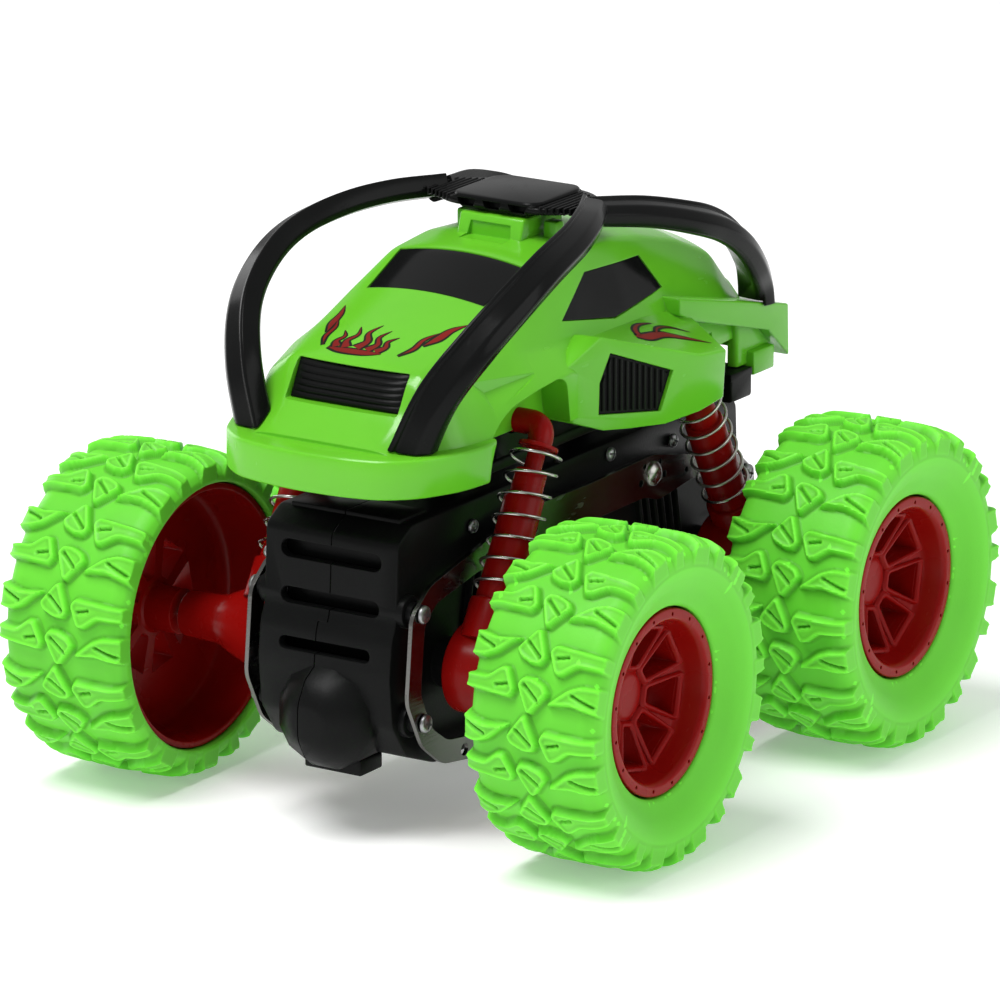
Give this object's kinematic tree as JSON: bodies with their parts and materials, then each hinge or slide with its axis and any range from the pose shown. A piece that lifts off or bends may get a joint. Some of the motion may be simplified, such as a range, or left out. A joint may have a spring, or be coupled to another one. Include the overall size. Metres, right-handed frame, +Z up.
{
  "type": "toy stunt car",
  "caption": "Toy stunt car with big lugged wheels, geared friction drive, four sprung shock legs and a hood-and-cabin shell under a curved roll cage.",
  "frame": {"origin": "on the ground, below the middle of the bounding box (half way between the axles, on the centre plane)", "axes": "+X forward along the car, +Y to the car's left along the axles, +Z up"},
  "size_m": [0.144, 0.1254, 0.1062],
  "materials": {
    "green_body": "glossy moulded ABS",
    "green_tyre": "satin soft vinyl",
    "red_plastic": "semi-gloss moulded ABS",
    "black_plastic": "satin moulded ABS",
    "gloss_black": "glossy",
    "steel": "zinc-plated sheet and bar",
    "spring_wire": "drawn wire",
    "zinc_screw": "dull zinc",
    "natural_plastic": "natural nylon"
  },
  "bodies": {
    "gearbox_unit": {"gearbox_case_left": "black_plastic", "gearbox_case_right": "black_plastic", "side_plate_left": "steel", "side_plate_right": "steel", "plate_screw_front_left_1": "zinc_screw", "plate_screw_front_left_2": "zinc_screw", "plate_screw_front_right_1": "zinc_screw", "plate_screw_front_right_2": "zinc_screw", "plate_screw_rear_left_1": "zinc_screw", "plate_screw_rear_left_2": "zinc_screw", "plate_screw_rear_right_1": "zinc_screw", "plate_screw_rear_right_2": "zinc_screw"},
    "front_axle": {"front_left_rim": "red_plastic", "front_left_tyre": "green_tyre", "front_right_rim": "red_plastic", "front_right_tyre": "green_tyre", "front_axle_shaft": "steel", "front_axle_gear": "natural_plastic"},
    "rear_axle": {"rear_left_rim": "red_plastic", "rear_left_tyre": "green_tyre", "rear_right_rim": "red_plastic", "rear_right_tyre": "green_tyre", "rear_axle_shaft": "steel", "rear_axle_gear": "natural_plastic"},
    "front_idler": {"front_idler_gear": "natural_plastic"},
    "rear_idler": {"rear_idler_gear": "natural_plastic"},
    "centre_gear_body": {"centre_gear": "natural_plastic"},
    "flywheel": {"flywheel_pinion": "natural_plastic", "flywheel_left": "steel", "flywheel_right": "steel"},
    "upper_body": {"chassis_tray": "black_plastic", "body_shell": "green_body", "windshield": "gloss_black", "grille": "black_plastic", "pod_grille_left": "black_plastic", "pod_grille_right": "black_plastic", "side_window_left": "gloss_black", "side_window_right": "gloss_black", "roll_cage": "black_plastic"},
    "front_left_sleeve": {"front_left_shock_sleeve": "red_plastic", "front_left_shock_spring": "spring_wire"},
    "front_left_rod": {"front_left_shock_rod": "red_plastic"},
    "front_right_sleeve": {"front_right_shock_sleeve": "red_plastic", "front_right_shock_spring": "spring_wire"},
    "front_right_rod": {"front_right_shock_rod": "red_plastic"},
    "rear_left_sleeve": {"rear_left_shock_sleeve": "red_plastic", "rear_left_shock_spring": "spring_wire"},
    "rear_left_rod": {"rear_left_shock_rod": "red_plastic"},
    "rear_right_sleeve": {"rear_right_shock_sleeve": "red_plastic", "rear_right_shock_spring": "spring_wire"},
    "rear_right_rod": {"rear_right_shock_rod": "red_plastic"}
  },
  "joints": [
    {"name": "front_axle_spin", "type": "hinge", "parent": "gearbox_unit", "child": "front_axle", "pos_m": [0.042, 0, 0.03], "axis": [0, 1, 0], "continuous": true},
    {"name": "rear_axle_spin", "type": "hinge", "parent": "gearbox_unit", "child": "rear_axle", "pos_m": [-0.042, 0, 0.03], "axis": [0, 1, 0], "continuous": true},
    {"name": "front_idler_spin", "type": "hinge", "parent": "gearbox_unit", "child": "front_idler", "pos_m": [0.0225, 0, 0.03], "axis": [0, 1, 0], "continuous": true},
    {"name": "rear_idler_spin", "type": "hinge", "parent": "gearbox_unit", "child": "rear_idler", "pos_m": [-0.0225, 0, 0.03], "axis": [0, 1, 0], "continuous": true},
    {"name": "centre_gear_spin", "type": "hinge", "parent": "gearbox_unit", "child": "centre_gear_body", "pos_m": [0, 0, 0.03], "axis": [0, 1, 0], "continuous": true},
    {"name": "flywheel_spin", "type": "hinge", "parent": "gearbox_unit", "child": "flywheel", "pos_m": [0, 0, 0.048], "axis": [0, 1, 0], "continuous": true},
    {"name": "body_heave", "type": "slide", "parent": "gearbox_unit", "child": "upper_body", "axis": [0, 0, 1], "range_m": [-0.004, 0], "stiffness_N_per_m": 800, "springref_m": 0.002},
    {"name": "front_left_leg_swing", "type": "hinge", "parent": "gearbox_unit", "child": "front_left_sleeve", "pos_m": [0.042, 0, 0.03], "axis": [0, 1, 0], "range_deg": [-2.8, 0]},
    {"name": "front_left_rod_slide", "type": "slide", "parent": "front_left_sleeve", "child": "front_left_rod", "axis": [-0.4848, 0, 0.8746], "range_m": [-0.0037, 0], "deforming": ["front_left_shock_spring"]},
    {"name": "front_right_leg_swing", "type": "hinge", "parent": "gearbox_unit", "child": "front_right_sleeve", "pos_m": [0.042, 0, 0.03], "axis": [0, 1, 0], "range_deg": [-2.8, 0]},
    {"name": "front_right_rod_slide", "type": "slide", "parent": "front_right_sleeve", "child": "front_right_rod", "axis": [-0.4848, 0, 0.8746], "range_m": [-0.0037, 0], "deforming": ["front_right_shock_spring"]},
    {"name": "rear_left_leg_swing", "type": "hinge", "parent": "gearbox_unit", "child": "rear_left_sleeve", "pos_m": [-0.042, 0, 0.03], "axis": [0, 1, 0], "range_deg": [0, 2.8]},
    {"name": "rear_left_rod_slide", "type": "slide", "parent": "rear_left_sleeve", "child": "rear_left_rod", "axis": [0.4848, 0, 0.8746], "range_m": [-0.0037, 0], "deforming": ["rear_left_shock_spring"]},
    {"name": "rear_right_leg_swing", "type": "hinge", "parent": "gearbox_unit", "child": "rear_right_sleeve", "pos_m": [-0.042, 0, 0.03], "axis": [0, 1, 0], "range_deg": [0, 2.8]},
    {"name": "rear_right_rod_slide", "type": "slide", "parent": "rear_right_sleeve", "child": "rear_right_rod", "axis": [0.4848, 0, 0.8746], "range_m": [-0.0037, 0], "deforming": ["rear_right_shock_spring"]}
  ],
  "couplings": [
    {"joint": "rear_axle_spin", "follows": "front_axle_spin", "ratio": 1},
    {"joint": "front_idler_spin", "follows": "front_axle_spin", "ratio": -0.85714},
    {"joint": "rear_idler_spin", "follows": "front_axle_spin", "ratio": -0.85714},
    {"joint": "centre_gear_spin", "follows": "front_axle_spin", "ratio": 0.75},
    {"joint": "flywheel_spin", "follows": "front_axle_spin", "ratio": -1.5},
    {"joint": "front_left_leg_swing", "follows": "body_heave", "rad_per_m": 11.895},
    {"joint": "front_left_rod_slide", "follows": "body_heave", "ratio": 0.9056},
    {"joint": "front_right_leg_swing", "follows": "body_heave", "rad_per_m": 11.895},
    {"joint": "front_right_rod_slide", "follows": "body_heave", "ratio": 0.9056},
    {"joint": "rear_left_leg_swing", "follows": "body_heave", "rad_per_m": -11.895},
    {"joint": "rear_left_rod_slide", "follows": "body_heave", "ratio": 0.9056},
    {"joint": "rear_right_leg_swing", "follows": "body_heave", "rad_per_m": -11.895},
    {"joint": "rear_right_rod_slide", "follows": "body_heave", "ratio": 0.9056}
  ]
}
